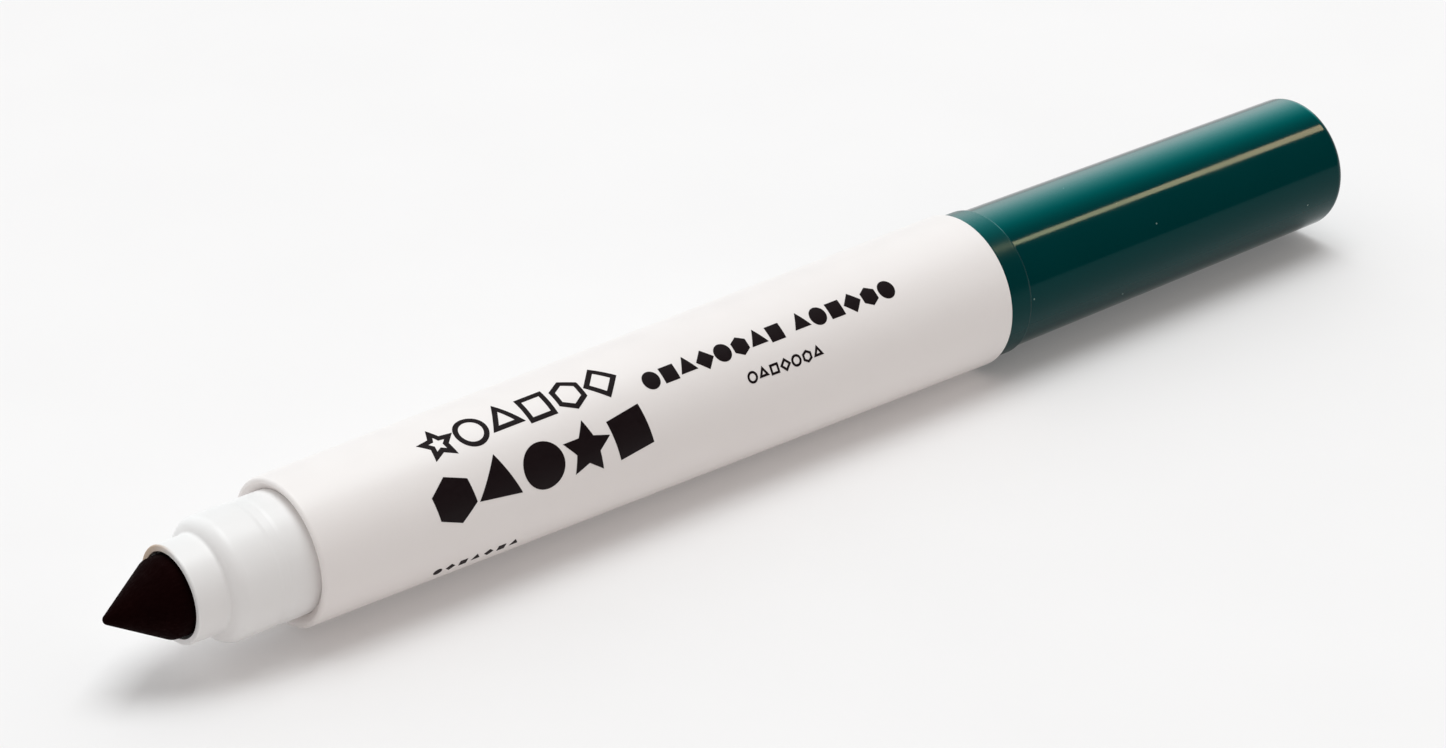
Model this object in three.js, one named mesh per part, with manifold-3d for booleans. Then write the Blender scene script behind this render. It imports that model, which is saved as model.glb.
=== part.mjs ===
// A fibre-tip marker lying on its side, with its cap pushed onto the rear end.
// Millimetres. The axis runs along X: the nib is at -X, the cap's closed end at +X, and +Z is up.
// Every piece is turned about that axis, so most shapes are outlines of [radius, station] corners,
// where a station is the distance along the axis from the barrel's front rim.

import * as THREE from "three";
import { mergeVertices } from "three/addons/utils/BufferGeometryUtils.js";
import Module from "manifold-3d";

const wasm = await Module();
wasm.setup();

// ---- Driving dimensions ----------------------------------------------------------------------

const FACETS = 32;
const ARC_STEPS = 2;
const RUNNING_GAP = 0.1;
// How far a rib is sunk into the walls that it grows from.
const RIB_ROOT = 0.3;

const BARREL_LENGTH = 77.6;
const BARREL_REAR_RADIUS = 7.5;
const BARREL_FRONT_RADIUS = 6.72;
const BARREL_WALL = 1.0;
const BARREL_FRONT_ROUND = 0.5;
const BARREL_REAR_ROUND = 0.25;
const SOCKET_DEPTH = 9.0;
const STOP_RING_RADIUS = 4.9;
const STOP_RING_LENGTH = 1.2;

const NECK_RADIUS = 5.6;
const NECK_LENGTH = 7.8;
const NECK_SHOULDER = 0.5;
const NECK_ROUND = 1.3;
const NECK_FILLET = 0.3;
const SNAP_GROOVE_OFFSET = 4.3;
const SNAP_GROOVE_WIDTH = 1.5;
const SNAP_GROOVE_DEPTH = 0.07;
const SNAP_GROOVE_SLOPE = 0.35;
const NIB_TUBE_RADIUS = 4.4;
const NIB_TUBE_LENGTH = 3.0;
const NIB_TUBE_BORE = 3.83;
const HOLDER_BORE = 4.4;

const NIB_RADIUS = 3.56;
const NIB_REACH = 6.5;
const NIB_HALF_ANGLE = THREE.MathUtils.degToRad(31);
const NIB_TIP_FLAT = 0.26;
const NIB_TIP_ROUND = 0.45;
const NIB_SHOULDER_ROUND = 0.8;
const NIB_BODY_END = 2.0;
const NIB_SHANK_RADIUS = 2.6;
const NIB_SHANK_END = 17.2;

const RESERVOIR_RADIUS = 5.5;
const RESERVOIR_FILM = 0.2;
const RESERVOIR_END_GAP = 0.4;

const PLUG_DEPTH = 8.0;
const PLUG_BORE = 4.4;
const SPIGOT_RADIUS = 5.5;
const SPIGOT_LENGTH = 7.2;
const SPIGOT_END_WALL = 1.2;
const SPIGOT_ROUND = 0.6;

const CAP_LENGTH = 46.0;
const CAP_COLLAR_RADIUS = 7.12;
const CAP_COLLAR_LENGTH = 2.5;
const CAP_FRONT_RADIUS = 6.88;
const CAP_END_RADIUS = 6.59;
const CAP_END_ROUND = 0.95;
const CAP_END_WALL = 1.3;
const CAP_BORE = 5.75;
const CAP_END_BORE = 5.45;
const CAP_BEAD_RADIUS = 5.62;
const CAP_BEAD_DEPTH = 2.6;
const CAP_BEAD_LENGTH = 0.9;
const CAP_RIB_DEPTH = 8.0;
const CAP_RIB_RADIUS = 5.2;

const SEAL_BORE = 4.47;
const SEAL_DEPTH = 8.1;
const SEAL_LENGTH = 12.4;
const SEAL_WALL = 0.62;
const SEAL_LIP = 0.3;

// ---- Worked out from them --------------------------------------------------------------------

const MOUTH = -NECK_LENGTH - NIB_TUBE_LENGTH;
const NIB_TIP = MOUTH - NIB_REACH;
const SOCKET_RADIUS = NECK_RADIUS + RUNNING_GAP;
const STOP_RING_END = SOCKET_DEPTH + STOP_RING_LENGTH;
const PLUG_START = BARREL_LENGTH - PLUG_DEPTH;
const SPIGOT_END = BARREL_LENGTH + SPIGOT_LENGTH;
const CAP_MOUTH = BARREL_LENGTH + RUNNING_GAP;
const CAP_END = CAP_MOUTH + CAP_LENGTH;
const RESERVOIR_START = STOP_RING_END + RESERVOIR_END_GAP;
const RESERVOIR_END = PLUG_START - RESERVOIR_END_GAP;

const barrelRadiusAt = (station) =>
  THREE.MathUtils.mapLinear(station, 0, BARREL_LENGTH, BARREL_FRONT_RADIUS, BARREL_REAR_RADIUS);
const barrelBoreAt = (station) => barrelRadiusAt(station) - BARREL_WALL;
const capBoreAt = (station) =>
  THREE.MathUtils.mapLinear(station, CAP_MOUTH, CAP_END, CAP_BORE, CAP_END_BORE);

// ---- Materials -------------------------------------------------------------------------------

const finish = (color, roughness) => new THREE.MeshStandardMaterial({ color, roughness, metalness: 0 });
const warmWhite = finish(0xf1edea, 0.35);
const coolWhite = finish(0xeef1f3, 0.25);
const darkGreen = finish(0x00463f, 0.15);
const sealWhite = finish(0xdfe3e2, 0.5);
const inkedFelt = finish(0x120a09, 0.9);
const inkedFibre = finish(0x0b3a30, 0.95);
const clearFilm = finish(0xdde6e4, 0.2);

// ---- Shape helpers ---------------------------------------------------------------------------

// The arc of radius `round` that touches both sides of `corner`.
function roundedCorner(path, before, corner, after, round) {
  const back = before.clone().sub(corner).normalize();
  const ahead = after.clone().sub(corner).normalize();
  const halfAngle = Math.acos(back.dot(ahead)) / 2;
  const reach = round / Math.tan(halfAngle);
  const start = corner.clone().addScaledVector(back, reach);
  const end = corner.clone().addScaledVector(ahead, reach);
  const bisector = back.clone().add(ahead).normalize();
  const centre = corner.clone().addScaledVector(bisector, round / Math.sin(halfAngle));
  const from = start.clone().sub(centre).angle();
  const to = end.clone().sub(centre).angle();
  path.lineTo(start.x, start.y);
  path.absarc(centre.x, centre.y, round, from, to, back.cross(ahead) > 0);
}

// Corners are [radius, station] or [radius, station, round]. The first and last stay sharp.
function outlinePoints(corners) {
  const points = corners.map(([radius, station]) => new THREE.Vector2(radius, station));
  const path = new THREE.Path();
  path.moveTo(points[0].x, points[0].y);
  for (let i = 1; i < points.length; i += 1) {
    const round = corners[i][2] ?? 0;
    if (round > 0) {
      roundedCorner(path, points[i - 1], points[i], points[i + 1], round);
    } else {
      path.lineTo(points[i].x, points[i].y);
    }
  }
  return path.getPoints(ARC_STEPS);
}

// A solid of revolution about X with a flat facet facing straight down.
// An outline that doesn't start on the axis is closed back to its first corner.
function turned(corners) {
  const closed = corners[0][0] === 0 ? corners : [...corners, corners[0]];
  const geometry = new THREE.LatheGeometry(outlinePoints(closed), FACETS, Math.PI / FACETS);
  return geometry.rotateZ(-Math.PI / 2);
}

// Evenly spaced ribs along the axis, from radius `inner` to radius `outer`.
function ribs(count, width, inner, outer, start, end) {
  return Array.from({ length: count }, (_, i) => {
    const rib = new THREE.BoxGeometry(end - start, width, outer - inner);
    rib.translate((start + end) / 2, 0, (inner + outer) / 2);
    return rib.rotateX((i / count) * 2 * Math.PI);
  });
}

function toSolid(geometry) {
  const bare = geometry.clone();
  bare.deleteAttribute("normal");
  bare.deleteAttribute("uv");
  const merged = mergeVertices(bare);
  return new wasm.Manifold(new wasm.Mesh({
    numProp: 3,
    vertProperties: merged.attributes.position.array,
    triVerts: merged.index.array,
  }));
}

function toGeometry(solid) {
  const mesh = solid.getMesh();
  const geometry = new THREE.BufferGeometry();
  geometry.setAttribute("position", new THREE.BufferAttribute(mesh.vertProperties, 3));
  geometry.setIndex(new THREE.BufferAttribute(mesh.triVerts, 1));
  geometry.computeVertexNormals();
  return geometry;
}

function joined(body, additions) {
  return toGeometry(additions.reduce((solid, piece) => solid.add(toSolid(piece)), toSolid(body)));
}

function piece(name, geometry, material) {
  const mesh = new THREE.Mesh(geometry, material);
  mesh.name = name;
  return mesh;
}

// ---- Pieces ----------------------------------------------------------------------------------

// Tapered tube. A ring inside stops the nib holder from the front and the reservoir from behind,
// and ribs along the bore centre the reservoir.
function barrel() {
  const tube = turned([
    [SOCKET_RADIUS, 0],
    [BARREL_FRONT_RADIUS, 0, BARREL_FRONT_ROUND],
    [BARREL_REAR_RADIUS, BARREL_LENGTH, BARREL_REAR_ROUND],
    [barrelBoreAt(BARREL_LENGTH), BARREL_LENGTH],
    [barrelBoreAt(STOP_RING_END), STOP_RING_END],
    [STOP_RING_RADIUS, STOP_RING_END],
    [STOP_RING_RADIUS, SOCKET_DEPTH],
    [SOCKET_RADIUS, SOCKET_DEPTH],
  ]);
  const ribCount = 6;
  const ribWidth = 0.8;
  const ribInner = RESERVOIR_RADIUS + RUNNING_GAP;
  const ribEnd = PLUG_START - RESERVOIR_END_GAP;
  const ribOuter = barrelBoreAt(ribEnd) + RIB_ROOT / 2;
  const centring = ribs(ribCount, ribWidth, ribInner, ribOuter, STOP_RING_END - RIB_ROOT, ribEnd);
  return piece("barrel", joined(tube, centring), warmWhite);
}

// Front section: a thin tube around the nib, and a neck that the cap grips. The neck's rear half is
// pressed into the barrel.
function nibHolder() {
  const lipRound = 0.15;
  const grooveStart = SNAP_GROOVE_OFFSET - NECK_LENGTH;
  const grooveEnd = grooveStart + SNAP_GROOVE_WIDTH;
  const grooveRadius = NECK_RADIUS - SNAP_GROOVE_DEPTH;
  const plugEnd = SOCKET_DEPTH - 2 * RUNNING_GAP;
  const plugBore = 4.7;
  const plugBoreStart = 4.0;
  const lipBoreEnd = MOUTH + 4.2;
  const body = turned([
    [NIB_TUBE_BORE, MOUTH],
    [NIB_TUBE_RADIUS, MOUTH, lipRound],
    [NIB_TUBE_RADIUS, -NECK_LENGTH, NECK_FILLET],
    [NECK_RADIUS, NECK_SHOULDER - NECK_LENGTH, NECK_ROUND],
    [NECK_RADIUS, grooveStart],
    [grooveRadius, grooveStart + SNAP_GROOVE_SLOPE],
    [grooveRadius, grooveEnd - SNAP_GROOVE_SLOPE],
    [NECK_RADIUS, grooveEnd],
    [NECK_RADIUS, plugEnd, lipRound],
    [plugBore, plugEnd],
    [plugBore, plugBoreStart],
    [HOLDER_BORE, plugBoreStart],
    [HOLDER_BORE, lipBoreEnd],
    [NIB_TUBE_BORE, lipBoreEnd],
  ]);
  const ribCount = 6;
  const ribWidth = 0.9;
  const ribInner = NIB_RADIUS + RUNNING_GAP;
  const ribOuter = HOLDER_BORE + RIB_ROOT;
  const gripEnd = 1.0;
  const grip = ribs(ribCount, ribWidth, ribInner, ribOuter, lipBoreEnd + RIB_ROOT, gripEnd);
  return piece("nib_holder", joined(body, grip), coolWhite);
}

// Conical nib: the cone, a round body that the holder grips, and a shank into the reservoir.
function nib() {
  const coneBase = NIB_TIP + (NIB_RADIUS - NIB_TIP_FLAT) / Math.tan(NIB_HALF_ANGLE);
  const tailLength = 2.2;
  const shoulder = 0.8;
  return piece("nib", turned([
    [0, NIB_TIP],
    [NIB_TIP_FLAT, NIB_TIP, NIB_TIP_ROUND],
    [NIB_RADIUS, coneBase, NIB_SHOULDER_ROUND],
    [NIB_RADIUS, NIB_BODY_END - shoulder],
    [NIB_SHANK_RADIUS, NIB_BODY_END],
    [NIB_SHANK_RADIUS, NIB_SHANK_END - tailLength],
    [0, NIB_SHANK_END],
  ]), inkedFelt);
}

// Fibre rod that holds the ink. The nib's shank stands in its front end.
function reservoirCore() {
  const radius = RESERVOIR_RADIUS - RESERVOIR_FILM - RUNNING_GAP;
  const socketEnd = NIB_SHANK_END + RESERVOIR_END_GAP;
  return piece("reservoir_core", turned([
    [0, socketEnd],
    [NIB_SHANK_RADIUS + RUNNING_GAP, socketEnd],
    [NIB_SHANK_RADIUS + RUNNING_GAP, RESERVOIR_START],
    [radius, RESERVOIR_START],
    [radius, RESERVOIR_END],
    [0, RESERVOIR_END],
  ]), inkedFibre);
}

// Film wrapped round the fibre rod, open at both ends.
function reservoirFilm() {
  const inner = RESERVOIR_RADIUS - RESERVOIR_FILM;
  return piece("reservoir_film", turned([
    [inner, RESERVOIR_START],
    [RESERVOIR_RADIUS, RESERVOIR_START],
    [RESERVOIR_RADIUS, RESERVOIR_END],
    [inner, RESERVOIR_END],
  ]), clearFilm);
}

// Rear closure, pressed into the barrel. Its spigot carries the cap, and ribs inside hold the
// reservoir forward.
function endPlug() {
  const radiusAt = (station) => barrelBoreAt(station) - RUNNING_GAP;
  const boreEnd = SPIGOT_END - SPIGOT_END_WALL;
  const fillet = 0.2;
  const body = turned([
    [0, boreEnd],
    [PLUG_BORE, boreEnd],
    [PLUG_BORE, PLUG_START],
    [radiusAt(PLUG_START), PLUG_START],
    [radiusAt(BARREL_LENGTH), BARREL_LENGTH],
    [SPIGOT_RADIUS, BARREL_LENGTH, fillet],
    [SPIGOT_RADIUS, SPIGOT_END, SPIGOT_ROUND],
    [0, SPIGOT_END],
  ]);
  const ribCount = 4;
  const ribWidth = 1.0;
  const ribInner = 1.6;
  const ribOuter = PLUG_BORE + RIB_ROOT;
  const pushers = ribs(ribCount, ribWidth, ribInner, ribOuter, PLUG_START + RIB_ROOT, boreEnd + RIB_ROOT);
  return piece("end_plug", joined(body, pushers), coolWhite);
}

// Cap: a collar at the mouth, a slightly tapered tube and a closed end. A bead inside the mouth
// holds it on the neck or the spigot, and ribs further in hold the inner seal.
function cap() {
  const boreEnd = CAP_END - CAP_END_WALL;
  const collarEnd = CAP_MOUTH + CAP_COLLAR_LENGTH;
  const collarStep = 0.25;
  const mouthChamfer = 0.3;
  const mouthRound = 0.15;
  const beadStart = CAP_MOUTH + CAP_BEAD_DEPTH;
  const beadMiddle = beadStart + CAP_BEAD_LENGTH / 2;
  const beadEnd = beadStart + CAP_BEAD_LENGTH;
  const shell = turned([
    [0, boreEnd],
    [CAP_END_BORE, boreEnd],
    [capBoreAt(beadEnd), beadEnd],
    [CAP_BEAD_RADIUS, beadMiddle],
    [capBoreAt(beadStart), beadStart],
    [CAP_BORE, CAP_MOUTH + mouthChamfer],
    [CAP_BORE + mouthChamfer, CAP_MOUTH],
    [CAP_COLLAR_RADIUS, CAP_MOUTH, mouthRound],
    [CAP_COLLAR_RADIUS, collarEnd, mouthRound],
    [CAP_FRONT_RADIUS, collarEnd + collarStep],
    [CAP_END_RADIUS, CAP_END, CAP_END_ROUND],
    [0, CAP_END],
  ]);
  const ribCount = 8;
  const ribWidth = 0.8;
  const ribStart = CAP_MOUTH + CAP_RIB_DEPTH;
  const ribOuter = capBoreAt(ribStart) + RIB_ROOT;
  const keepers = ribs(ribCount, ribWidth, CAP_RIB_RADIUS, ribOuter, ribStart, boreEnd + RIB_ROOT);
  return piece("cap", joined(shell, keepers), darkGreen);
}

// Cup inside the cap that closes over the nib tube when the marker is capped.
function capInnerSeal() {
  const outer = SEAL_BORE + SEAL_WALL;
  const start = CAP_MOUTH + SEAL_DEPTH;
  const end = start + SEAL_LENGTH;
  const endRound = 0.8;
  return piece("cap_inner_seal", turned([
    [0, end - SEAL_WALL],
    [SEAL_BORE, end - SEAL_WALL],
    [SEAL_BORE, start + SEAL_LIP],
    [SEAL_BORE + SEAL_LIP, start],
    [outer, start],
    [outer, end, endRound],
    [0, end],
  ]), sealWhite);
}

// ---- Assembly: origin under the middle of the marker, on the surface that it lies on ----------

const marker = new THREE.Group();
marker.add(
  barrel(),
  nibHolder(),
  nib(),
  reservoirCore(),
  reservoirFilm(),
  endPlug(),
  cap(),
  capInnerSeal(),
);
marker.position.x = -(NIB_TIP + CAP_END) / 2;
marker.position.z = BARREL_REAR_RADIUS * Math.cos(Math.PI / FACETS);

export default marker;
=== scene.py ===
import math

import bmesh
import bpy
from mathutils import Matrix, Quaternion, Vector


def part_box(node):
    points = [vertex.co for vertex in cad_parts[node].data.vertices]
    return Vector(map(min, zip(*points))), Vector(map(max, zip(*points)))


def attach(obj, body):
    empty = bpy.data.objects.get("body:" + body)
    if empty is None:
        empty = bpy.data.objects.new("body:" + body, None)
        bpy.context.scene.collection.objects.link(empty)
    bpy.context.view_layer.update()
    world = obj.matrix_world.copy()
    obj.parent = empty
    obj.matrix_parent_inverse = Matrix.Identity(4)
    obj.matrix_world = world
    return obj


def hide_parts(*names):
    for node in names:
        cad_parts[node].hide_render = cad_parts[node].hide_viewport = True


# The looks of a fibre-tip marker that lies on its side: nib at -X, cap on the rear end at +X.
# Pieces are turned about the marker's axis from outlines in millimetres, where a station is a
# place along X in the frame. Objects are in metres.

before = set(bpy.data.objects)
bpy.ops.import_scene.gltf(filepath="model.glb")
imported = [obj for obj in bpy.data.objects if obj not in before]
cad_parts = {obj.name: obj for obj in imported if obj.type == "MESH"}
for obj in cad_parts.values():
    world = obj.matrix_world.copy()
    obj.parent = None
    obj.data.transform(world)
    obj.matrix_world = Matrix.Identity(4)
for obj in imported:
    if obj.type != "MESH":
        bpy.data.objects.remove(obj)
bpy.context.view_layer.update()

MM = 0.001

# ---- Sizes read from the frame ---------------------------------------------------------------


def stations(node):
    """Where a CAD node starts and ends along the marker, in millimetres."""
    low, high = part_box(node)
    return low.x / MM, high.x / MM


barrel_low, barrel_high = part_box("barrel")
AXIS_HEIGHT = (barrel_low.z + barrel_high.z) / 2 / MM
BARREL_REAR_RADIUS = (barrel_high.z - barrel_low.z) / 2 / MM
FRONT_RIM, REAR_RIM = stations("barrel")
NIB_TIP, SHANK_END = stations("nib")
MOUTH, HOLDER_END = stations("nib_holder")
PLUG_START, SPIGOT_END = stations("end_plug")
CAP_MOUTH, CAP_END = stations("cap")
SEAL_START, SEAL_END = stations("cap_inner_seal")
RESERVOIR_START, RESERVOIR_END = stations("reservoir_film")

# ---- Sizes of the mouldings, in millimetres --------------------------------------------------

FINE_ROUND = 0.06
SMALL_ROUND = 0.1
EDGE_ROUND = 0.2
SOFT_ROUND = 0.3

BARREL_FRONT_RADIUS = 6.72
BARREL_FRONT_ROUND = 0.35
BARREL_MOUTH_DEPTH = 0.5
BARREL_MOUTH_RADIUS = 6.3
BARREL_MOUTH_ROUND = 0.15
BARREL_REAR_ROUND = 0.25
BARREL_WALL = 1.0
SOCKET_DEPTH = 9.0
STOP_RING_RADIUS = 4.9
STOP_RING_LENGTH = 1.2
FIT_GAP = 0.1
PRESS_GAP = 0.015

BARREL_RIBS = 6
BARREL_RIB_WIDTH = 0.8

NECK_RADIUS = 5.6
NECK_LENGTH = 7.8
NECK_SHOULDER = 0.5
NECK_ROUND = 1.3
NECK_FILLET = 0.3
NIB_TUBE_RADIUS = 4.4
NIB_TUBE_BORE = 3.83
NIB_TUBE_BORE_LENGTH = 4.2
NIB_TUBE_LIP_ROUND = 0.16
HOLDER_BORE = 4.4
HOLDER_REAR_BORE = 4.7
HOLDER_STEP_DEPTH = 4.0
HOLDER_RIBS = 6
HOLDER_RIB_WIDTH = 0.9
HOLDER_RIB_DEPTH = 1.0
SNAP_GROOVE_OFFSET = 4.3
SNAP_GROOVE_WIDTH = 1.5
SNAP_GROOVE_DEPTH = 0.05
SNAP_GROOVE_SLOPE = 0.35
SNAP_GROOVE_ROUND = 0.8

NIB_RADIUS = 3.56
NIB_HALF_ANGLE = math.radians(31)
NIB_TIP_RADIUS = 0.26
NIB_TIP_ROUND = 0.45
NIB_CONE_ROUND = 0.8
NIB_BODY_DEPTH = 2.0
NIB_BODY_TAPER = 0.8
NIB_SHANK_RADIUS = 2.6
NIB_SHANK_POINT = 2.2
NIB_STEP = 0.3

RESERVOIR_RADIUS = 5.5

SPIGOT_RADIUS = 5.5
SPIGOT_END_ROUND = 0.6
PLUG_BORE = 4.4
PLUG_END_WALL = 1.2
PLUG_RIBS = 4
PLUG_RIB_WIDTH = 1.0
PLUG_RIB_INNER = 1.6

CAP_COLLAR_RADIUS = 7.12
CAP_COLLAR_LENGTH = 2.5
CAP_COLLAR_ROUND = 0.16
CAP_LIP_ROUND = 0.18
CAP_FRONT_RADIUS = 6.88
CAP_END_RADIUS = 6.59
CAP_BORE = 5.75
CAP_END_BORE = 5.45
CAP_END_WALL = 1.3
CAP_END_ROUND = 0.95
CAP_INNER_ROUND = 0.5
CAP_STEP = 0.25
CAP_LEAD_IN = 0.3
CAP_BEAD_DEPTH = 2.6
CAP_BEAD_WIDTH = 0.9
CAP_BEAD_RADIUS = 5.62
CAP_RIBS = 8
CAP_RIB_WIDTH = 0.8
CAP_RIB_INNER = 5.2

SEAL_BORE = 4.47
SEAL_WALL = 0.62
SEAL_LEAD_IN = 0.3
SEAL_LIP_ROUND = 0.15
SEAL_INNER_ROUND = 0.4
SEAL_END_ROUND = 0.8

# ---- How finely pieces are meshed ------------------------------------------------------------

SEGMENTS = 144
ARC_STEP = math.radians(9)
HOLD = 0.05
RIB_ROOT = 0.3
ON_AXIS = 0.0001
SHARP_ANGLE = math.radians(32)


def between(value, start, end, first, last):
    """A value's place between start and end, carried over to first and last."""
    return first + (last - first) * (value - start) / (end - start)


def barrel_radius(station):
    """The barrel's outer radius at a station."""
    return between(station, FRONT_RIM, REAR_RIM, BARREL_FRONT_RADIUS, BARREL_REAR_RADIUS)


def barrel_bore(station):
    """The barrel's inner radius at a station."""
    return barrel_radius(station) - BARREL_WALL


def cap_bore(station):
    """The cap's inner radius at a station."""
    return between(station, CAP_MOUTH, CAP_END, CAP_BORE, CAP_END_BORE)


# ---- Outlines --------------------------------------------------------------------------------


def arc(before, corner, after, radius):
    """Points of the arc that touches both sides of a corner."""
    back = (before - corner).normalized()
    ahead = (after - corner).normalized()
    half = back.angle(ahead) / 2
    centre = corner + (back + ahead).normalized() * (radius / math.sin(half))
    start = corner + back * (radius / math.tan(half)) - centre
    end = corner + ahead * (radius / math.tan(half)) - centre
    sweep = math.copysign(math.pi - 2 * half, start.x * end.y - start.y * end.x)
    steps = max(2, math.ceil(abs(sweep) / ARC_STEP))
    return [centre + Matrix.Rotation(sweep * i / steps, 2) @ start for i in range(steps + 1)]


def rounded(corners, closed):
    """The points of an outline. A corner is (x, y), or (x, y, round) where an arc replaces it."""
    spots = [Vector(c[:2]) for c in corners]
    rounds = [c[2] if len(c) > 2 else 0 for c in corners]
    points = []
    for i, spot in enumerate(spots):
        if rounds[i] > 0 and (closed or 0 < i < len(spots) - 1):
            points += arc(spots[i - 1], spot, spots[(i + 1) % len(spots)], rounds[i])
        else:
            points.append(spot)
    return points


def held(points, closed, step):
    """Adds a point close to both ends of each straight stretch, so that smooth shading stays on
    the rounds, and splits stretches longer than step."""
    made = []
    pairs = list(zip(points, points[1:] + points[:1]))
    for start, end in pairs if closed else pairs[:-1]:
        length = (end - start).length
        shares = [0.0]
        if length > 4 * HOLD:
            inner = max(1, math.ceil((length - 2 * HOLD) / step))
            shares += [(HOLD + (length - 2 * HOLD) * i / inner) / length for i in range(inner + 1)]
        made += [start.lerp(end, share) for share in shares]
    return made if closed else made + [points[-1]]


# ---- Meshes ----------------------------------------------------------------------------------


def add_object(name, mesh):
    """Puts a mesh, curve, light or camera in the scene."""
    made = bpy.data.objects.new(name, mesh)
    bpy.context.scene.collection.objects.link(made)
    return made


def smooth(mesh):
    """Shades a mesh smoothly, except across sharp edges."""
    mesh.shade_smooth()
    mesh.set_sharp_from_angle(angle=SHARP_ANGLE)


def to_object(name, shape):
    """Makes a bmesh in millimetres, with the axis at zero, an object in metres in the frame."""
    bmesh.ops.recalc_face_normals(shape, faces=shape.faces)
    bmesh.ops.translate(shape, verts=shape.verts, vec=(0, 0, AXIS_HEIGHT))
    bmesh.ops.scale(shape, verts=shape.verts, vec=(MM, MM, MM))
    mesh = bpy.data.meshes.new(name)
    shape.to_mesh(mesh)
    shape.free()
    smooth(mesh)
    return add_object(name, mesh)


def ring(shape, station, radius):
    """A ring of vertices about the axis, or one vertex on it."""
    if radius < ON_AXIS:
        return [shape.verts.new((station, 0, 0))]
    turns = [2 * math.pi * i / SEGMENTS for i in range(SEGMENTS)]
    return [shape.verts.new((station, radius * math.cos(a), radius * math.sin(a))) for a in turns]


def bridge(shape, near, far):
    """Faces between two rings. One of them may be a single vertex."""
    for i in range(SEGMENTS):
        corners = [near[i % len(near)], near[(i + 1) % len(near)]]
        corners += [far[(i + 1) % len(far)], far[i % len(far)]]
        shape.faces.new(list(dict.fromkeys(corners)))


def turned(name, corners, step=math.inf):
    """A solid of revolution from (station, radius) or (station, radius, round) corners. The
    outline closes on itself, unless it starts and ends on the axis."""
    closed = corners[0][1] > 0
    points = held(rounded(corners, closed), closed, step)
    shape = bmesh.new()
    rings = [ring(shape, p.x, p.y) for p in points]
    for near, far in zip(rings, rings[1:] + rings[:1] if closed else rings[1:]):
        bridge(shape, near, far)
    return to_object(name, shape)


def rib_bars(count, width, inner, outer, start, end):
    """Straight bars spaced evenly about the axis, as one object."""
    shape = bmesh.new()
    for i in range(count):
        bar = bmesh.ops.create_cube(shape, size=1)["verts"]
        bmesh.ops.scale(shape, verts=bar, vec=(end - start, width, outer - inner))
        bmesh.ops.translate(shape, verts=bar, vec=((start + end) / 2, 0, (inner + outer) / 2))
        turn = Matrix.Rotation(2 * math.pi * i / count, 3, "X")
        bmesh.ops.rotate(shape, verts=bar, cent=(0, 0, 0), matrix=turn)
    return to_object("rib_bars", shape)


def join_ribs(piece, **sizes):
    """Joins ribs, of the sizes that rib_bars takes, to a piece as one closed surface."""
    bars = rib_bars(**sizes)
    union = piece.modifiers.new("ribs", "BOOLEAN")
    union.operation = "UNION"
    union.solver = "EXACT"
    union.object = bars
    graph = bpy.context.evaluated_depsgraph_get()
    mesh = bpy.data.meshes.new_from_object(piece.evaluated_get(graph), depsgraph=graph)
    piece.modifiers.clear()
    piece.data = mesh
    smooth(mesh)
    bpy.data.objects.remove(bars)
    return piece


def dress(piece, body, slot, material, *nodes):
    """Puts a piece on its body, gives it its finish, and hides the CAD nodes it stands for."""
    piece.data.materials.clear()
    piece.data.materials.append(material)
    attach(piece, body)
    if nodes:
        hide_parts(*nodes)
    return piece


# ---- Materials -------------------------------------------------------------------------------

# Noise lies mostly between these two values.
NOISE_LOW = 0.3
NOISE_HIGH = 0.7

# A brownish tint on one side of the nib tube's rim: the way it faces, and lengths in millimetres.
RIM_TINT_TURN = math.radians(145)
RIM_TINT_FULL = 0.3
RIM_TINT_LENGTH = 0.6
RIM_TINT_DRIFT = 0.5
RIM_TINT_STRENGTH = 0.9

# The cap's collar is rougher than its tube, and the change takes this many millimetres.
COLLAR_ROUGHNESS = 0.26
COLLAR_CHANGE = 0.1

# A speck of dust, as distances in the pattern of cells.
DUST_CORE = 0.02
DUST_EDGE = 0.04
DUST_STRENGTH = 0.6


def node(tree, kind, inputs=None, **settings):
    """Adds a shader node. An input is set to a value, or linked if it is given a socket."""
    made = tree.nodes.new("ShaderNode" + kind)
    for key, value in settings.items():
        setattr(made, key, value)
    for key, value in (inputs or {}).items():
        if isinstance(value, bpy.types.NodeSocket):
            tree.links.new(value, made.inputs[key])
        else:
            made.inputs[key].default_value = value
    return made


def new_material(name):
    """A new material, its node tree and its shader."""
    material = bpy.data.materials.new(name)
    material.use_nodes = True
    return material, material.node_tree, material.node_tree.nodes["Principled BSDF"]


def feed(tree, shader, **inputs):
    """Sets or links the shader's inputs, named with _ for a space."""
    for key, value in inputs.items():
        socket = shader.inputs[key.replace("_", " ").title().replace("Ior", "IOR")]
        if isinstance(value, bpy.types.NodeSocket):
            tree.links.new(value, socket)
        else:
            socket.default_value = value


def place(tree):
    """Where a spot is in its piece, as a socket. Pieces are modelled in place in the frame."""
    return node(tree, "TexCoord").outputs["Object"]


def along(tree, spot):
    """The station of a spot, as a socket in metres."""
    return node(tree, "SeparateXYZ", {"Vector": spot}).outputs["X"]


def toward(tree, spot, turn):
    """How far a spot lies from the marker's axis in a direction round it, as a socket in metres.
    The turn is measured from -Y, over the top."""
    way = (0, -math.cos(turn), math.sin(turn))
    axis = (0, 0, AXIS_HEIGHT * MM)
    offset = node(tree, "VectorMath", {0: spot, 1: axis}, operation="SUBTRACT").outputs["Vector"]
    return node(tree, "VectorMath", {0: offset, 1: way}, operation="DOT_PRODUCT").outputs["Value"]


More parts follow.
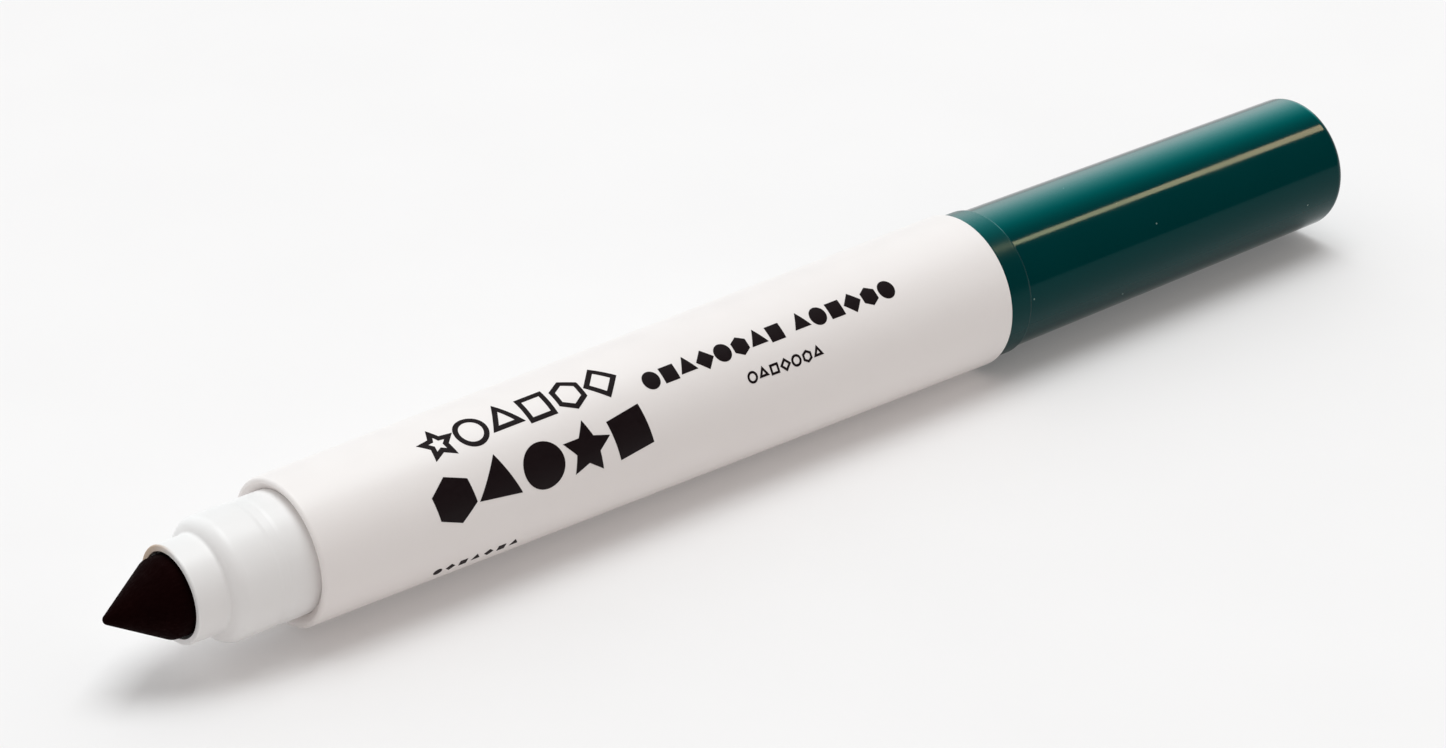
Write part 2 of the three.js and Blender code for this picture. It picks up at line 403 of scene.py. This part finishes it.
def grain(tree, spot, scale, stretch=(1, 1, 1), detail=3.0):
    """Noise with features of about 1 / scale metres, squeezed by stretch."""
    squeezed = node(tree, "Mapping", {"Vector": spot, "Scale": stretch}).outputs["Vector"]
    pattern = node(tree, "TexNoise", {"Vector": squeezed, "Scale": scale, "Detail": detail})
    return pattern.outputs["Fac"]


def spread(tree, value, low, high, first, last):
    """A value from low to high carried over to first and last, and kept between them."""
    inputs = {"Value": value, "From Min": low, "From Max": high, "To Min": first, "To Max": last}
    return node(tree, "MapRange", inputs, interpolation_type="SMOOTHSTEP").outputs["Result"]


def varied(tree, noise, first, last):
    """A value between first and last that follows a noise."""
    return spread(tree, noise, NOISE_LOW, NOISE_HIGH, first, last)


def times(tree, a, b):
    """The product of two values, as a socket."""
    return node(tree, "Math", {0: a, 1: b}, operation="MULTIPLY").outputs["Value"]


def blend(tree, share, first, second):
    """A colour between two, by a share from 0 to 1."""
    mixed = node(tree, "Mix", {"Factor": share}, data_type="RGBA")
    colours = [s for s in mixed.inputs if s.type == "RGBA"]
    for socket, colour in zip(colours, (first, second)):
        if isinstance(colour, bpy.types.NodeSocket):
            tree.links.new(colour, socket)
        else:
            socket.default_value = (*colour, 1)
    return [s for s in mixed.outputs if s.type == "RGBA"][0]


def bumps(tree, height, depth):
    """Bumps of that depth in millimetres."""
    inputs = {"Height": height, "Distance": depth * MM, "Strength": 1.0}
    return node(tree, "Bump", inputs).outputs["Normal"]


def barrel_plastic():
    """Warm white, softly glossy, with faint flow marks along the barrel."""
    material, tree, shader = new_material("barrel_plastic")
    spot = place(tree)
    flow = grain(tree, spot, 90, (0.25, 1, 1))
    smudge = grain(tree, spot, 260)
    skin = grain(tree, spot, 2600, detail=2.0)
    feed(
        tree,
        shader,
        base_color=blend(tree, varied(tree, flow, 0, 1), (0.84, 0.79, 0.77), (0.86, 0.815, 0.795)),
        roughness=varied(tree, smudge, 0.38, 0.46),
        normal=bumps(tree, skin, 0.003),
    )
    return material


def holder_plastic():
    """White, softly glossy, with a brownish tint on the upper rear of the mouth's rim."""
    material, tree, shader = new_material("holder_plastic")
    spot = place(tree)
    cloud = grain(tree, spot, 120)
    white = blend(tree, cloud, (0.82, 0.80, 0.79), (0.84, 0.82, 0.81))
    # The mouth's rim is tinted brown on one side, fading away from the mouth and round the rim.
    drift = times(tree, grain(tree, spot, 900), RIM_TINT_DRIFT * MM)
    reach = node(tree, "Math", {0: along(tree, spot), 1: drift}).outputs["Value"]
    rim = spread(tree, reach, (MOUTH + RIM_TINT_FULL) * MM, (MOUTH + RIM_TINT_LENGTH) * MM, 1, 0)
    far = NIB_TUBE_RADIUS * MM
    side = spread(tree, toward(tree, spot, RIM_TINT_TURN), far / 4, far, 0, RIM_TINT_STRENGTH)
    feed(
        tree,
        shader,
        base_color=blend(tree, times(tree, rim, side), white, (0.45, 0.30, 0.18)),
        roughness=varied(tree, cloud, 0.36, 0.42),
    )
    return material


def cap_plastic():
    """Dark green and glossy, satin on the collar, with a few specks of dust."""
    material, tree, shader = new_material("cap_plastic")
    spot = place(tree)
    cloud = grain(tree, spot, 150)
    skin = grain(tree, spot, 900, detail=1.0)
    specks = node(tree, "TexVoronoi", {"Vector": spot, "Scale": 330}).outputs["Distance"]
    green = blend(tree, cloud, (0.0, 0.024, 0.025), (0.0, 0.027, 0.028))
    collar_end = (CAP_MOUTH + CAP_COLLAR_LENGTH) * MM
    tube_start = collar_end + COLLAR_CHANGE * MM
    satin = spread(tree, along(tree, spot), collar_end, tube_start, COLLAR_ROUGHNESS, 0)
    gloss = varied(tree, cloud, 0.08, 0.12)
    dust = spread(tree, specks, DUST_CORE, DUST_EDGE, DUST_STRENGTH, 0)
    feed(
        tree,
        shader,
        base_color=blend(tree, dust, green, (0.30, 0.40, 0.36)),
        roughness=node(tree, "Math", {0: satin, 1: gloss}, operation="MAXIMUM").outputs["Value"],
        normal=bumps(tree, skin, 0.0015),
        specular_ior_level=0.15,
        specular_tint=(0.12, 1.0, 1.0, 1.0),
    )
    return material


def seal_plastic():
    """Natural white, softer and duller than the other mouldings."""
    material, tree, shader = new_material("seal_plastic")
    spot = place(tree)
    cloud = grain(tree, spot, 300)
    feed(
        tree,
        shader,
        base_color=blend(tree, cloud, (0.68, 0.70, 0.69), (0.78, 0.80, 0.79)),
        roughness=varied(tree, cloud, 0.4, 0.55),
        normal=bumps(tree, grain(tree, spot, 2000), 0.01),
    )
    return material


def nib_felt():
    """Bonded fibres along the nib, soaked with ink."""
    material, tree, shader = new_material("nib_felt")
    spot = place(tree)
    fibres = grain(tree, spot, 4200, (0.12, 1, 1), detail=4.0)
    patch = grain(tree, spot, 500)
    feed(
        tree,
        shader,
        base_color=blend(tree, patch, (0.002, 0.0002, 0.0003), (0.005, 0.0008, 0.0008)),
        roughness=varied(tree, fibres, 0.75, 0.98),
        normal=bumps(tree, fibres, 0.05),
        specular_ior_level=0.05,
        specular_tint=(1.0, 0.35, 0.35, 1.0),
    )
    return material


def reservoir_fibre():
    """Fibres along the rod, soaked with green ink."""
    material, tree, shader = new_material("reservoir_fibre")
    spot = place(tree)
    fibres = grain(tree, spot, 3000, (0.04, 1, 1), detail=4.0)
    feed(
        tree,
        shader,
        base_color=blend(tree, fibres, (0.004, 0.03, 0.024), (0.02, 0.12, 0.09)),
        roughness=0.95,
        normal=bumps(tree, fibres, 0.08),
    )
    return material


def film_plastic():
    """Thin clear film, slightly wrinkled."""
    material, tree, shader = new_material("film_plastic")
    spot = place(tree)
    wrinkle = grain(tree, spot, 500, (0.3, 1, 1))
    feed(
        tree,
        shader,
        base_color=blend(tree, wrinkle, (0.80, 0.86, 0.84), (0.88, 0.92, 0.91)),
        roughness=varied(tree, wrinkle, 0.12, 0.25),
        normal=bumps(tree, wrinkle, 0.02),
        transmission_weight=0.8,
    )
    return material


def print_ink():
    """Screen-printed ink, a little uneven."""
    material, tree, shader = new_material("print_ink")
    spot = place(tree)
    weave = grain(tree, spot, 3500, detail=2.0)
    feed(
        tree,
        shader,
        base_color=blend(tree, weave, (0.005, 0.0012, 0.002), (0.009, 0.003, 0.004)),
        roughness=varied(tree, weave, 0.45, 0.6),
        normal=bumps(tree, weave, 0.004),
        specular_ior_level=0.15,
    )
    return material


# ---- Pieces ----------------------------------------------------------------------------------


def barrel():
    """Tapered tube whose front rim slopes in to the neck. Inside it are a ring that stops the nib
    holder, and ribs that centre the reservoir."""
    stop_start = FRONT_RIM + SOCKET_DEPTH
    stop_end = stop_start + STOP_RING_LENGTH
    socket_radius = NECK_RADIUS + PRESS_GAP
    shell = turned("barrel_shell", [
        (FRONT_RIM + BARREL_MOUTH_DEPTH, socket_radius),
        (FRONT_RIM, BARREL_MOUTH_RADIUS, BARREL_MOUTH_ROUND),
        (FRONT_RIM, BARREL_FRONT_RADIUS, BARREL_FRONT_ROUND),
        (REAR_RIM, BARREL_REAR_RADIUS, BARREL_REAR_ROUND),
        (REAR_RIM, barrel_bore(REAR_RIM)),
        (stop_end, barrel_bore(stop_end)),
        (stop_end, STOP_RING_RADIUS),
        (stop_start, STOP_RING_RADIUS),
        (stop_start, socket_radius),
    ])
    join_ribs(
        shell,
        count=BARREL_RIBS,
        width=BARREL_RIB_WIDTH,
        inner=RESERVOIR_RADIUS + FIT_GAP,
        outer=barrel_bore(RESERVOIR_END) + RIB_ROOT / 2,
        start=stop_end - RIB_ROOT,
        end=RESERVOIR_END,
    )
    return dress(shell, "barrel_body", "barrel_plastic", barrel_plastic(), "barrel")


def nib_holder(material):
    """Nib tube, and the neck that a cap grips, whose rear half is pressed into the barrel."""
    neck_start = FRONT_RIM - NECK_LENGTH
    groove_start = neck_start + SNAP_GROOVE_OFFSET
    groove_end = groove_start + SNAP_GROOVE_WIDTH
    groove_radius = NECK_RADIUS - SNAP_GROOVE_DEPTH
    bore_step = FRONT_RIM + HOLDER_STEP_DEPTH
    lip_bore_end = MOUTH + NIB_TUBE_BORE_LENGTH
    moulding = turned("nib_holder_moulding", [
        (MOUTH, NIB_TUBE_BORE, FINE_ROUND),
        (MOUTH, NIB_TUBE_RADIUS, NIB_TUBE_LIP_ROUND),
        (neck_start, NIB_TUBE_RADIUS, NECK_FILLET),
        (neck_start + NECK_SHOULDER, NECK_RADIUS, NECK_ROUND),
        (groove_start, NECK_RADIUS, SNAP_GROOVE_ROUND),
        (groove_start + SNAP_GROOVE_SLOPE, groove_radius, SNAP_GROOVE_ROUND),
        (groove_end - SNAP_GROOVE_SLOPE, groove_radius, SNAP_GROOVE_ROUND),
        (groove_end, NECK_RADIUS, SNAP_GROOVE_ROUND),
        (HOLDER_END, NECK_RADIUS, EDGE_ROUND),
        (HOLDER_END, HOLDER_REAR_BORE),
        (bore_step, HOLDER_REAR_BORE),
        (bore_step, HOLDER_BORE),
        (lip_bore_end, HOLDER_BORE),
        (lip_bore_end, NIB_TUBE_BORE),
    ])
    join_ribs(
        moulding,
        count=HOLDER_RIBS,
        width=HOLDER_RIB_WIDTH,
        inner=NIB_RADIUS + FIT_GAP,
        outer=HOLDER_BORE + RIB_ROOT,
        start=lip_bore_end + RIB_ROOT,
        end=FRONT_RIM + HOLDER_RIB_DEPTH,
    )
    return dress(moulding, "barrel_body", "holder_plastic", material, "nib_holder")


def nib():
    """Cone, round body and pointed shank."""
    cone_base = NIB_TIP + (NIB_RADIUS - NIB_TIP_RADIUS) / math.tan(NIB_HALF_ANGLE)
    body_end = FRONT_RIM + NIB_BODY_DEPTH
    felt = turned("nib_felt", [
        (NIB_TIP, 0),
        (NIB_TIP, NIB_TIP_RADIUS, NIB_TIP_ROUND),
        (cone_base, NIB_RADIUS, NIB_CONE_ROUND),
        (body_end - NIB_BODY_TAPER, NIB_RADIUS),
        (body_end, NIB_SHANK_RADIUS),
        (SHANK_END - NIB_SHANK_POINT, NIB_SHANK_RADIUS),
        (SHANK_END, 0),
    ], step=NIB_STEP)
    return dress(felt, "barrel_body", "nib_felt", nib_felt(), "nib")


def reservoir():
    """The ink rod, and the film wrapped round it."""
    dressed = [("reservoir_core", reservoir_fibre()), ("reservoir_film", film_plastic())]
    for name, material in dressed:
        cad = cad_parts[name]
        cad.data.materials.clear()
        cad.data.materials.append(material)


def end_plug(material):
    """Rear closure with the spigot that carries the cap."""
    bore_end = SPIGOT_END - PLUG_END_WALL
    moulding = turned("end_plug_moulding", [
        (bore_end, 0),
        (bore_end, PLUG_BORE, SOFT_ROUND),
        (PLUG_START, PLUG_BORE),
        (PLUG_START, barrel_bore(PLUG_START) - FIT_GAP, EDGE_ROUND),
        (REAR_RIM, barrel_bore(REAR_RIM) - FIT_GAP, SMALL_ROUND),
        (REAR_RIM, SPIGOT_RADIUS, EDGE_ROUND),
        (SPIGOT_END, SPIGOT_RADIUS, SPIGOT_END_ROUND),
        (SPIGOT_END, 0),
    ])
    join_ribs(
        moulding,
        count=PLUG_RIBS,
        width=PLUG_RIB_WIDTH,
        inner=PLUG_RIB_INNER,
        outer=PLUG_BORE + RIB_ROOT,
        start=PLUG_START + RIB_ROOT,
        end=bore_end + RIB_ROOT,
    )
    return dress(moulding, "barrel_body", "holder_plastic", material, "end_plug")


def cap():
    """Collar, tapered tube and closed end. A bead inside grips the neck, and ribs the seal."""
    bore_end = CAP_END - CAP_END_WALL
    collar_end = CAP_MOUTH + CAP_COLLAR_LENGTH
    bead_start = CAP_MOUTH + CAP_BEAD_DEPTH
    bead_end = bead_start + CAP_BEAD_WIDTH
    shell = turned("cap_shell", [
        (bore_end, 0),
        (bore_end, CAP_END_BORE, CAP_INNER_ROUND),
        (bead_end, cap_bore(bead_end), EDGE_ROUND),
        ((bead_start + bead_end) / 2, CAP_BEAD_RADIUS, SOFT_ROUND),
        (bead_start, cap_bore(bead_start), EDGE_ROUND),
        (CAP_MOUTH + CAP_LEAD_IN, CAP_BORE, SMALL_ROUND),
        (CAP_MOUTH, CAP_BORE + CAP_LEAD_IN, FINE_ROUND),
        (CAP_MOUTH, CAP_COLLAR_RADIUS, CAP_LIP_ROUND),
        (collar_end, CAP_COLLAR_RADIUS, CAP_COLLAR_ROUND),
        (collar_end + CAP_STEP, CAP_FRONT_RADIUS, SMALL_ROUND),
        (CAP_END, CAP_END_RADIUS, CAP_END_ROUND),
        (CAP_END, 0),
    ])
    join_ribs(
        shell,
        count=CAP_RIBS,
        width=CAP_RIB_WIDTH,
        inner=CAP_RIB_INNER,
        outer=cap_bore(SEAL_START) + RIB_ROOT,
        start=SEAL_START,
        end=bore_end + RIB_ROOT,
    )
    return dress(shell, "cap_body", "cap_plastic", cap_plastic(), "cap")


def inner_seal():
    """Cup that closes over the nib tube when the marker is capped."""
    outer = SEAL_BORE + SEAL_WALL
    cup = turned("cap_inner_seal_cup", [
        (SEAL_END - SEAL_WALL, 0),
        (SEAL_END - SEAL_WALL, SEAL_BORE, SEAL_INNER_ROUND),
        (SEAL_START + SEAL_LEAD_IN, SEAL_BORE, EDGE_ROUND),
        (SEAL_START, SEAL_BORE + SEAL_LEAD_IN, FINE_ROUND),
        (SEAL_START, outer, SEAL_LIP_ROUND),
        (SEAL_END, outer, SEAL_END_ROUND),
        (SEAL_END, 0),
    ])
    return dress(cup, "cap_body", "seal_plastic", seal_plastic(), "cap_inner_seal")


# ---- Print: generic shapes wrapped round the barrel ------------------------------------------

# A row is placed by stations and by its distance round the barrel, in millimetres. A shape's size
# in SHAPES is its radius, as a share of the row's size.

PRINT_TURN = math.radians(34.3)
PRINT_RADIUS = 7.1
PRINT_HEIGHT = 0.02
PRINT_STEP = 0.35
STAR_LINE_REACH = 0.9
BOLD_TILT = math.radians(8)


def polygon(sides, radius, turn=0.0, inner=1.0):
    """Corners of a polygon, or of a star where every other corner is pulled in."""
    count = sides if inner == 1.0 else 2 * sides
    corners = []
    for i in range(count):
        reach = radius * (inner if i % 2 and inner != 1.0 else 1.0)
        angle = math.pi / 2 + turn + 2 * math.pi * i / count
        corners.append((reach * math.cos(angle), reach * math.sin(angle)))
    return corners


SHAPES = {
    "disc": dict(sides=40, size=0.5, inner=1.0, turn=0.0),
    "triangle": dict(sides=3, size=0.60, inner=1.0, turn=0.0),
    "square": dict(sides=4, size=0.62, inner=1.0, turn=math.pi / 4),
    "diamond": dict(sides=4, size=0.56, inner=1.0, turn=0.0),
    "star": dict(sides=5, size=0.60, inner=0.5, turn=0.0),
    "hexagon": dict(sides=6, size=0.53, inner=1.0, turn=0.0),
}


def shape_outlines(kind, centre, size, line=None, tilt=0.0):
    """One printed shape: its outline, and a hole inside it if it is drawn as a line."""
    form = SHAPES[kind]
    radius = form["size"] * size
    turn = form["turn"] + tilt
    outer = polygon(form["sides"], radius, turn, form["inner"])
    loops = [outer]
    if line:
        apothem = radius * math.cos(math.pi / form["sides"])
        if form["inner"] != 1.0:
            apothem = radius * form["inner"] * STAR_LINE_REACH
        loops.append([(x * (1 - line / apothem), y * (1 - line / apothem)) for x, y in outer])
    return [[(centre[0] + x, centre[1] + y) for x, y in loop] for loop in loops]


def row(kinds, start, end, middle, size, line=None, tilt=0.0):
    """Shapes spaced evenly from start to end, at a distance round the barrel from its middle."""
    loops = []
    pitch = (end - start - size) / (len(kinds) - 1)
    for i, kind in enumerate(kinds):
        centre = (start + size / 2 + pitch * i, -middle)
        loops += shape_outlines(kind, centre, size, line, tilt * (-1) ** i)
    return loops


def flat_sheet(loops):
    """A thin flat solid of the outlines, in millimetres."""
    curve = bpy.data.curves.new("print_outline", "CURVE")
    curve.dimensions = "2D"
    curve.fill_mode = "BOTH"
    curve.extrude = PRINT_HEIGHT
    for loop in loops:
        spline = curve.splines.new("POLY")
        spline.points.add(len(loop) - 1)
        for point, (x, y) in zip(spline.points, loop):
            point.co = (x, y, 0, 1)
        spline.use_cyclic_u = True
    helper = add_object("print_outline", curve)
    graph = bpy.context.evaluated_depsgraph_get()
    mesh = bpy.data.meshes.new_from_object(helper.evaluated_get(graph), depsgraph=graph)
    shape = bmesh.new()
    shape.from_mesh(mesh)
    bpy.data.objects.remove(helper)
    bpy.data.curves.remove(curve)
    bpy.data.meshes.remove(mesh)
    return shape


def wrapped(name, loops):
    """The outlines as a thin solid wrapped round the barrel, sunk into it by half."""
    shape = flat_sheet(loops)
    bmesh.ops.remove_doubles(shape, verts=shape.verts, dist=PRINT_HEIGHT / 10)
    heights = [v.co.y for v in shape.verts]
    level = min(heights) + PRINT_STEP
    while level < max(heights):
        everything = shape.verts[:] + shape.edges[:] + shape.faces[:]
        bmesh.ops.bisect_plane(shape, geom=everything, plane_co=(0, level, 0), plane_no=(0, 1, 0))
        level += PRINT_STEP
    for vertex in shape.verts:
        station = FRONT_RIM + vertex.co.x
        turn = PRINT_TURN + vertex.co.y / PRINT_RADIUS
        radius = barrel_radius(station) + vertex.co.z
        vertex.co = (station, -radius * math.cos(turn), radius * math.sin(turn))
    return to_object(name, shape)


def barrel_print():
    """Rows of plain shapes where the real barrel carries its print."""
    ink = print_ink()
    rows = {
        "print_line_shapes": row(
            ["star", "disc", "triangle", "square", "hexagon", "diamond"],
            start=13.25, end=34.0, middle=-4.15, size=3.3, line=0.5,
        ),
        "print_bold_shapes": row(
            ["hexagon", "triangle", "disc", "star", "square"],
            start=11.75, end=35.0, middle=1.2, size=4.3, tilt=BOLD_TILT,
        ),
        "print_long_row": row(
            ["disc", "square", "triangle", "diamond", "disc", "hexagon", "triangle", "square"],
            start=36.0, end=52.0, middle=-2.45, size=1.8,
        ) + row(
            ["triangle", "disc", "square", "diamond", "hexagon", "disc"],
            start=53.2, end=65.25, middle=-2.45, size=1.8,
        ),
        "print_short_row": row(
            ["disc", "triangle", "square", "diamond", "disc", "hexagon", "triangle"],
            start=46.25, end=55.0, middle=0.575, size=1.12, line=0.22,
        ),
        "print_edge_row": row(
            ["disc"] + ["diamond", "square", "triangle"] * 2,
            start=11.75, end=20.75, middle=8.4, size=0.9,
        ),
    }
    for name, loops in rows.items():
        dress(wrapped(name, loops), "barrel_body", "print_ink", ink)


# ---- Floor, light and camera -----------------------------------------------------------------

# Places and lengths are in metres from here on. A turn about the marker starts at -Y and goes
# over the top.

VIEW_TARGET = Vector((-0.00758, -0.00353, 0.01065))
VIEW_AZIMUTH = math.radians(-39.86)
VIEW_ELEVATION = math.radians(27.59)
VIEW_DISTANCE = 0.37454
LENS = 104.56
SENSOR = 36.0
CLIP_START = 0.01
CLIP_END = 20
VIEW_ROLL = math.radians(0.06)

FLOOR_HALF = 2.5
FLOOR_GLOW = 0.12

# A span is where the change happens, in the Y part of a direction.
AMBIENT_FRONT = 0.45
AMBIENT_BACK = 1.1
AMBIENT_SPAN = (-0.3, 0.9)
AMBIENT_TINT_SPAN = (-0.6, 0.9)
AMBIENT_WARM = (1.0, 0.94, 0.90)
AMBIENT_COOL = (0.92, 0.975, 1.0)

SOFTBOX_PLACE = (0.14, 0.09, 1.05)
SOFTBOX_SIDE = 0.7
SOFTBOX_POWER = 7.5
SOFTBOX_COLOUR = (0.93, 0.98, 1.0)

# The strip's two ends, each as a place along X, a distance from the axis, and half a width.
STRIP_TURN = math.radians(72.3)
STRIP_ENDS = ((0.375, 0.494, 0.018), (0.505, 0.427, 0.044))
STRIP_COLOUR = (1.0, 0.365, 0.215, 1)
STRIP_GLOW = 36

# The glow's edge and the white's start and end are shares of the screen's radius.
SCREEN_RADIUS = 0.8
SCREEN_START = 0.2
SCREEN_END = 1.7
SCREEN_STEPS = 36
SCREEN_DIM = 0.3
SCREEN_GLOW = 3.3
SCREEN_GLOW_TURN = math.radians(137)
SCREEN_GLOW_EDGE = 0.4
SCREEN_WHITE_START = 0.25
SCREEN_WHITE_END = 1.1
SCREEN_WHITE_POWER = 1.5


def add_camera():
    """A long lens, in front of the marker and above it, on the nib's side."""
    azimuth, elevation = VIEW_AZIMUTH, VIEW_ELEVATION
    back = Vector((
        math.sin(azimuth) * math.cos(elevation),
        -math.cos(azimuth) * math.cos(elevation),
        math.sin(elevation),
    ))
    data = bpy.data.cameras.new("camera")
    data.lens = LENS
    data.sensor_width = SENSOR
    data.clip_start = CLIP_START
    data.clip_end = CLIP_END
    camera = add_object("camera", data)
    camera.rotation_mode = "QUATERNION"
    level = (-back).to_track_quat("-Z", "Y")
    camera.rotation_quaternion = level @ Quaternion((0, 0, 1), VIEW_ROLL)
    camera.location = VIEW_TARGET + back * VIEW_DISTANCE
    bpy.context.scene.camera = camera


def add_floor():
    """A large light surface with a faint glow of its own."""
    half = FLOOR_HALF
    mesh = bpy.data.meshes.new("floor")
    corners = [(-half, -half, 0), (half, -half, 0), (half, half, 0), (-half, half, 0)]
    mesh.from_pydata(corners, [], [(0, 1, 2, 3)])
    floor = add_object("floor", mesh)
    material, tree, shader = new_material("floor")
    paper = grain(tree, place(tree), 40)
    feed(
        tree,
        shader,
        base_color=blend(tree, paper, (0.69, 0.67, 0.665), (0.72, 0.70, 0.695)),
        roughness=0.8,
        specular_ior_level=0.2,
        emission_color=(1.0, 0.99, 0.985, 1),
        emission_strength=FLOOR_GLOW,
    )
    floor.data.materials.append(material)


def add_softbox():
    """A large square light high above the marker, aimed at the origin."""
    data = bpy.data.lights.new("overhead_softbox", "AREA")
    data.shape = "RECTANGLE"
    data.size = SOFTBOX_SIDE
    data.size_y = SOFTBOX_SIDE
    data.energy = SOFTBOX_POWER
    data.color = SOFTBOX_COLOUR
    light = add_object("overhead_softbox", data)
    light.location = SOFTBOX_PLACE
    light.rotation_mode = "QUATERNION"
    light.rotation_quaternion = (-Vector(SOFTBOX_PLACE)).to_track_quat("-Z", "Y")
    light.visible_camera = False


def add_world():
    """Soft light from all round, brighter and cooler behind the marker than in front of it."""
    world = bpy.data.worlds.new("world")
    world.use_nodes = True
    tree = world.node_tree
    way = node(tree, "SeparateXYZ", {"Vector": node(tree, "TexCoord").outputs["Generated"]}).outputs
    behind = spread(tree, way["Y"], *AMBIENT_TINT_SPAN, 0, 1)
    colour = blend(tree, behind, AMBIENT_WARM, AMBIENT_COOL)
    strength = spread(tree, way["Y"], *AMBIENT_SPAN, AMBIENT_FRONT, AMBIENT_BACK)
    background = tree.nodes["Background"]
    tree.links.new(colour, background.inputs["Color"])
    tree.links.new(strength, background.inputs["Strength"])
    bpy.context.scene.world = world


def lit_only(panel, receiver):
    """Makes a glowing panel light one object and nothing else, and hides it from the camera."""
    panel.visible_camera = False
    panel.visible_diffuse = False
    panel.visible_shadow = False
    receivers = bpy.data.collections.new(panel.name + "_receivers")
    receivers.objects.link(receiver)
    panel.light_linking.receiver_collection = receivers


def add_strip(receiver):
    """A narrow warm panel that only the cap mirrors, wider towards the cap's end."""
    outward = Vector((0, -math.cos(STRIP_TURN), math.sin(STRIP_TURN)))
    across = Vector((0, math.sin(STRIP_TURN), math.cos(STRIP_TURN)))
    corners = []
    for station, reach, half in STRIP_ENDS:
        middle = Vector((station, 0, AXIS_HEIGHT * MM)) + outward * reach
        corners += [middle - across * half, middle + across * half]
    mesh = bpy.data.meshes.new("strip")
    mesh.from_pydata(corners, [], [(0, 1, 3, 2)])
    strip = add_object("strip", mesh)
    material, tree, shader = new_material("strip")
    feed(
        tree,
        shader,
        base_color=(0, 0, 0, 1),
        emission_color=STRIP_COLOUR,
        emission_strength=STRIP_GLOW,
    )
    mesh.materials.append(material)
    lit_only(strip, receiver)


def share(tree, reach, first, last):
    """Where a reach lies between two parts of the screen's radius, from 0 to 1."""
    ends = {"From Min": first * SCREEN_RADIUS, "From Max": last * SCREEN_RADIUS}
    return node(tree, "MapRange", {"Value": reach, **ends}).outputs["Result"]


def add_screen(receiver):
    """A curved screen beyond the cap that only the cap mirrors: dim, with a glow low behind."""
    corners = []
    for i in range(SCREEN_STEPS + 1):
        angle = math.pi * i / SCREEN_STEPS
        y, z = -SCREEN_RADIUS * math.cos(angle), SCREEN_RADIUS * math.sin(angle)
        corners += [(SCREEN_START, y, z), (SCREEN_END, y, z)]
    faces = [(2 * i, 2 * i + 1, 2 * i + 3, 2 * i + 2) for i in range(SCREEN_STEPS)]
    mesh = bpy.data.meshes.new("screen")
    mesh.from_pydata(corners, [], faces)
    screen = add_object("screen", mesh)
    material, tree, shader = new_material("screen")
    spot = place(tree)
    glow = share(tree, toward(tree, spot, SCREEN_GLOW_TURN), SCREEN_GLOW_EDGE, 1)
    behind = share(tree, toward(tree, spot, math.pi), SCREEN_WHITE_START, SCREEN_WHITE_END)
    whiteness = node(tree, "Math", {0: behind, 1: SCREEN_WHITE_POWER}, operation="POWER")
    square = times(tree, glow, glow)
    bright = node(tree, "Math", {0: times(tree, square, SCREEN_GLOW), 1: SCREEN_DIM})
    feed(
        tree,
        shader,
        base_color=(0, 0, 0, 1),
        emission_color=blend(
            tree, whiteness.outputs["Value"], (0.0, 1.0, 0.97), (0.97, 1.0, 1.0)
        ),
        emission_strength=bright.outputs["Value"],
    )
    mesh.materials.append(material)
    lit_only(screen, receiver)


add_camera()
add_floor()
add_world()
add_softbox()
bpy.context.scene.view_settings.view_transform = "Standard"

white = holder_plastic()
barrel()
nib_holder(white)
nib()
reservoir()
end_plug(white)
cap_shell = cap()
add_strip(cap_shell)
add_screen(cap_shell)
inner_seal()
barrel_print()
